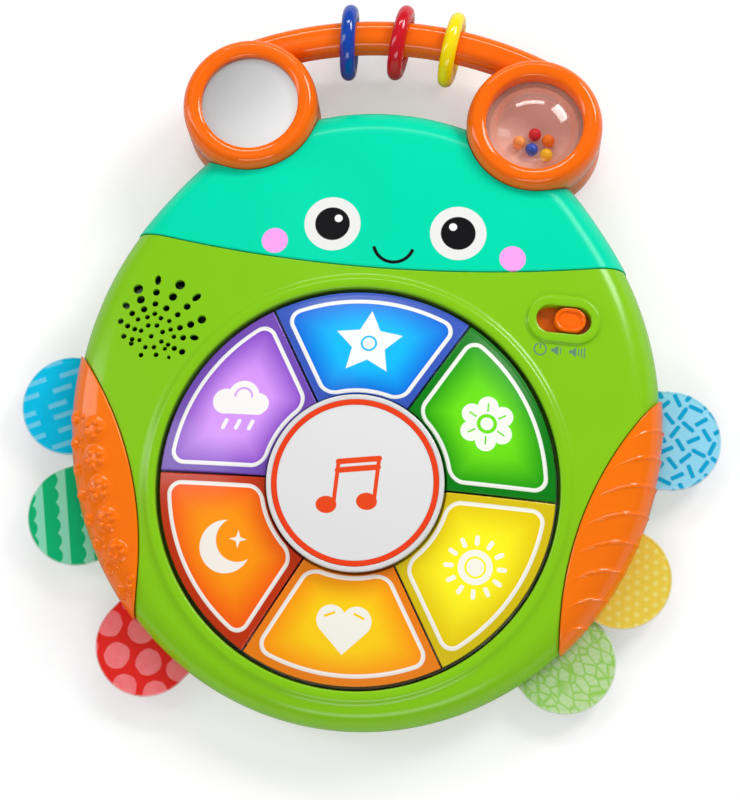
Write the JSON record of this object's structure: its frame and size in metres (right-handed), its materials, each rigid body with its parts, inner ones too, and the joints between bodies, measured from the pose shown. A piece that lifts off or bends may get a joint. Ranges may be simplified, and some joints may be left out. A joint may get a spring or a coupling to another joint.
{
  "type": "musical baby activity toy",
  "caption": "Flat bug-shaped baby activity toy with a wheel of sector keys round a raised button, a carry handle with rings between two round pods, side grips and fabric tags.",
  "frame": {"origin": "on the flat back, under the centre of the key wheel", "axes": "+Z out of the face, +Y from the key wheel towards the carry handle, +X to the right as seen from the front"},
  "size_m": [0.302, 0.3193, 0.0508],
  "materials": {
    "back_casing": "smooth lime green moulding",
    "front_casing": "smooth lime green moulding",
    "battery_door": "smooth lime green moulding",
    "face_panel": "glossy turquoise moulding",
    "grip_left": "soft satin orange",
    "grip_right": "soft satin orange",
    "handle_front": "glossy orange moulding",
    "handle_back": "glossy orange moulding",
    "switch_knob": "glossy orange moulding",
    "key_blue": "translucent glossy key with printed border",
    "key_green": "translucent glossy key with printed border",
    "key_yellow": "translucent glossy key with printed border",
    "key_amber": "translucent glossy key with printed border",
    "key_orange": "translucent glossy key with printed border",
    "key_purple": "translucent glossy key with printed border",
    "centre_button": "glossy off-white",
    "button_ring": "glossy red",
    "light_baffle": "white moulding",
    "key_mat": "soft grey rubber",
    "key_board": "printed circuit board",
    "main_board": "printed circuit board",
    "speaker_frame": "plain steel",
    "speaker_cone": "black paper cone",
    "switch_body": "black moulding",
    "mirror": "safe plastic mirror",
    "mirror_backing": "white foam",
    "rattle_dome": "clear polished dome",
    "rattle_cup": "clear polished cup",
    "bead_1": "glossy bead",
    "bead_2": "glossy bead",
    "bead_3": "glossy bead",
    "bead_4": "glossy bead",
    "bead_5": "glossy bead",
    "tag_left_upper": "printed woven fabric, two layers",
    "tag_left_middle": "printed woven fabric, two layers",
    "tag_left_lower": "printed woven fabric, two layers",
    "tag_right_upper": "printed woven fabric, two layers",
    "tag_right_middle": "printed woven fabric, two layers",
    "tag_right_lower": "printed woven fabric, two layers",
    "ring_blue": "glossy ring",
    "ring_red": "glossy ring",
    "ring_yellow": "glossy ring",
    "battery_1": "wrapped cell",
    "battery_2": "wrapped cell",
    "battery_3": "wrapped cell",
    "contact_east_single": "plated spring contact",
    "contact_east_pair": "plated spring contact",
    "contact_west_pair": "plated spring contact",
    "contact_west_single": "plated spring contact",
    "door_screw": "plated screw",
    "board_screw_1": "plated screw",
    "board_screw_2": "plated screw",
    "case_screw_1": "plated screw",
    "case_screw_2": "plated screw",
    "case_screw_3": "plated screw",
    "case_screw_4": "plated screw",
    "handle_screw_1": "plated screw",
    "handle_screw_2": "plated screw",
    "pod_screw_1": "plated screw",
    "pod_screw_2": "plated screw"
  },
  "bodies": {
    "casing": {"back_casing": "back_casing", "front_casing": "front_casing", "face_panel": "face_panel", "grip_left": "grip_left", "grip_right": "grip_right", "handle_front": "handle_front", "handle_back": "handle_back", "light_baffle": "light_baffle", "key_mat": "key_mat", "key_board": "key_board", "main_board": "main_board", "speaker_frame": "speaker_frame", "speaker_cone": "speaker_cone", "switch_body": "switch_body", "mirror": "mirror", "mirror_backing": "mirror_backing", "rattle_dome": "rattle_dome", "rattle_cup": "rattle_cup", "bead_1": "bead_1", "bead_2": "bead_2", "bead_3": "bead_3", "bead_4": "bead_4", "bead_5": "bead_5", "tag_left_upper": "tag_left_upper", "tag_left_middle": "tag_left_middle", "tag_left_lower": "tag_left_lower", "tag_right_upper": "tag_right_upper", "tag_right_middle": "tag_right_middle", "tag_right_lower": "tag_right_lower", "battery_1": "battery_1", "battery_2": "battery_2", "battery_3": "battery_3", "contact_east_single": "contact_east_single", "contact_east_pair": "contact_east_pair", "contact_west_pair": "contact_west_pair", "contact_west_single": "contact_west_single", "board_screw_1": "board_screw_1", "board_screw_2": "board_screw_2", "case_screw_1": "case_screw_1", "case_screw_2": "case_screw_2", "case_screw_3": "case_screw_3", "case_screw_4": "case_screw_4", "handle_screw_1": "handle_screw_1", "handle_screw_2": "handle_screw_2", "pod_screw_1": "pod_screw_1", "pod_screw_2": "pod_screw_2"},
    "battery_door": {"battery_door": "battery_door", "door_screw": "door_screw"},
    "key_blue": {"key_blue": "key_blue"},
    "key_green": {"key_green": "key_green"},
    "key_yellow": {"key_yellow": "key_yellow"},
    "key_amber": {"key_amber": "key_amber"},
    "key_orange": {"key_orange": "key_orange"},
    "key_purple": {"key_purple": "key_purple"},
    "centre_button": {"centre_button": "centre_button", "button_ring": "button_ring"},
    "switch_knob": {"switch_knob": "switch_knob"},
    "ring_blue": {"ring_blue": "ring_blue"},
    "ring_red": {"ring_red": "ring_red"},
    "ring_yellow": {"ring_yellow": "ring_yellow"}
  },
  "joints": [
    {"name": "key_blue_press", "type": "slide", "parent": "casing", "child": "key_blue", "axis": [0, -0.0677, 0.9977], "range_m": [-0.0018, 0], "stiffness_N_per_m": 400, "springref_m": 0.002},
    {"name": "key_green_press", "type": "slide", "parent": "casing", "child": "key_green", "axis": [0, -0.0677, 0.9977], "range_m": [-0.0018, 0], "stiffness_N_per_m": 400, "springref_m": 0.002},
    {"name": "key_yellow_press", "type": "slide", "parent": "casing", "child": "key_yellow", "axis": [0, -0.0677, 0.9977], "range_m": [-0.0018, 0], "stiffness_N_per_m": 400, "springref_m": 0.002},
    {"name": "key_amber_press", "type": "slide", "parent": "casing", "child": "key_amber", "axis": [0, -0.0677, 0.9977], "range_m": [-0.0018, 0], "stiffness_N_per_m": 400, "springref_m": 0.002},
    {"name": "key_orange_press", "type": "slide", "parent": "casing", "child": "key_orange", "axis": [0, -0.0677, 0.9977], "range_m": [-0.0018, 0], "stiffness_N_per_m": 400, "springref_m": 0.002},
    {"name": "key_purple_press", "type": "slide", "parent": "casing", "child": "key_purple", "axis": [0, -0.0677, 0.9977], "range_m": [-0.0018, 0], "stiffness_N_per_m": 400, "springref_m": 0.002},
    {"name": "centre_button_press", "type": "slide", "parent": "casing", "child": "centre_button", "axis": [0, -0.0677, 0.9977], "range_m": [-0.0015, 0], "stiffness_N_per_m": 400, "springref_m": 0.002},
    {"name": "switch_slide", "type": "slide", "parent": "casing", "child": "switch_knob", "axis": [0.9962, 0, -0.0869], "range_m": [-0.007, 0]},
    {"name": "ring_blue_slide", "type": "hinge", "parent": "casing", "child": "ring_blue", "pos_m": [0, 0.0454, 0], "axis": [0, 0, 1], "range_deg": [-2.4, 4.7]},
    {"name": "ring_red_slide", "type": "hinge", "parent": "casing", "child": "ring_red", "pos_m": [0, 0.0454, 0], "axis": [0, 0, 1], "range_deg": [-2.3, 2.4]},
    {"name": "ring_yellow_slide", "type": "hinge", "parent": "casing", "child": "ring_yellow", "pos_m": [0, 0.0454, 0], "axis": [0, 0, 1], "range_deg": [-4.7, 2.3]},
    {"name": "battery_door_lift", "type": "slide", "parent": "casing", "child": "battery_door", "axis": [0, 0, -1], "range_m": [0, 0.03]}
  ]
}
